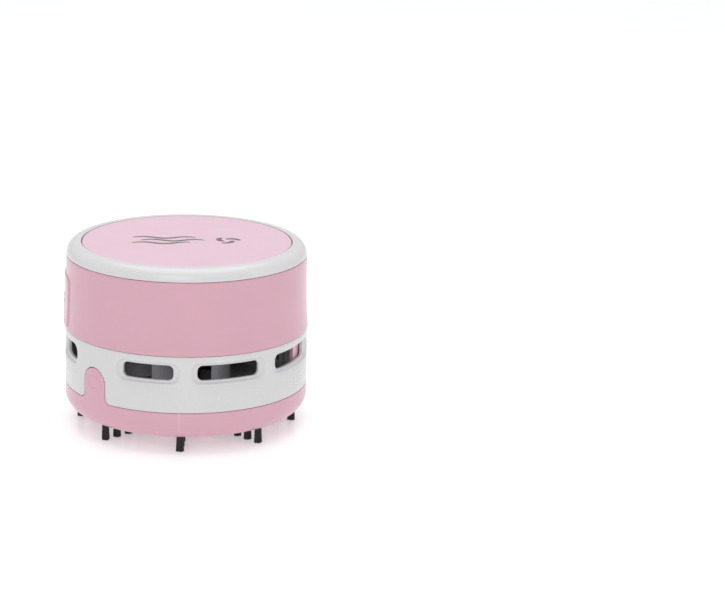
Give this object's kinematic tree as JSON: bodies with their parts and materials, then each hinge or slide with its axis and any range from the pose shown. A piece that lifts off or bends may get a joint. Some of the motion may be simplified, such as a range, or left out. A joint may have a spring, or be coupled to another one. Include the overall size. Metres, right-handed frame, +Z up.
{
  "type": "battery desk dust collector",
  "caption": "Round battery-driven dust collector with a pull-off dust tray, bristle tufts round a central intake, side vents, a lift-off battery lid and a slide switch.",
  "frame": {"origin": "on the table under the middle of the bristle tips", "axes": "+Z up through the lid, +X through one release tab of the dust tray"},
  "size_m": [0.085, 0.085, 0.0647],
  "materials": {
    "pink_tray": "glossy moulded plastic, light pink",
    "pink_sleeve": "high-gloss moulded plastic, pink",
    "pink_lid": "satin moulded plastic, pale pink",
    "white_shell": "glossy moulded plastic, white",
    "black_plastic": "fine moulded texture, black",
    "grey_plastic": "moulded grey plastic",
    "bristle": "black-brown nylon bristle",
    "filter_net": "fine black nylon net",
    "rubber_black": "soft black rubber",
    "cell_wrap": "shrink wrap, dark blue",
    "contact_metal": "nickel-plated spring steel",
    "motor_steel": "plated steel",
    "screw_steel": "zinc-plated steel",
    "magnet": "ferrite, dark grey",
    "lamination": "stacked electrical steel",
    "copper": "enamelled copper",
    "brass_leaf": "bright brass strip",
    "bronze": "sintered bronze",
    "switch_case": "grey pressed case",
    "capacitor": "dipped ceramic, orange-brown",
    "red_insulation": "red wire insulation",
    "black_insulation": "black wire insulation"
  },
  "bodies": {
    "housing": {"vent_ring": "white_shell", "motor_deck": "black_plastic", "upper_shell": "white_shell", "color_sleeve": "pink_sleeve", "battery_holder": "black_plastic", "battery_1": "cell_wrap", "battery_2": "cell_wrap", "battery_springs": "contact_metal", "terminal_plates": "contact_metal", "bridge_plate": "contact_metal", "motor_can": "motor_steel", "motor_end_cap": "white_shell", "motor_magnets": "magnet", "motor_brushes": "brass_leaf", "motor_terminals": "brass_leaf", "motor_bearings": "bronze", "motor_washer": "rubber_black", "housing_screws": "screw_steel", "holder_screws": "screw_steel", "switch_body": "switch_case", "switch_pins": "contact_metal", "noise_capacitor": "capacitor", "red_lead_battery": "red_insulation", "red_lead_motor": "red_insulation", "black_lead": "black_insulation", "tray_seal": "rubber_black", "filter_frame": "white_shell", "filter_mesh": "filter_net"},
    "dust_tray": {"dust_tray": "pink_tray", "brush_row_1": "bristle", "brush_row_2": "bristle", "brush_row_3": "bristle", "brush_row_4": "bristle", "brush_row_5": "bristle", "brush_row_6": "bristle", "brush_row_7": "bristle", "brush_row_8": "bristle"},
    "rotor": {"impeller": "grey_plastic", "motor_shaft": "motor_steel", "motor_armature": "lamination", "motor_windings": "copper", "motor_commutator": "copper"},
    "switch_slider": {"switch_knob": "white_shell", "switch_lever": "black_plastic"},
    "battery_lid": {"battery_lid": "pink_lid"}
  },
  "joints": [
    {"name": "tray_pull", "type": "slide", "parent": "housing", "child": "dust_tray", "axis": [0, 0, -1], "range_m": [0, 0.02]},
    {"name": "fan_spin", "type": "hinge", "parent": "housing", "child": "rotor", "pos_m": [0, 0, 0.03], "axis": [0, 0, 1], "continuous": true},
    {"name": "switch_slide", "type": "slide", "parent": "housing", "child": "switch_slider", "axis": [0, 0, 1], "range_m": [0, 0.003]},
    {"name": "lid_lift", "type": "slide", "parent": "housing", "child": "battery_lid", "axis": [0, 0, 1], "range_m": [0, 0.015]}
  ]
}
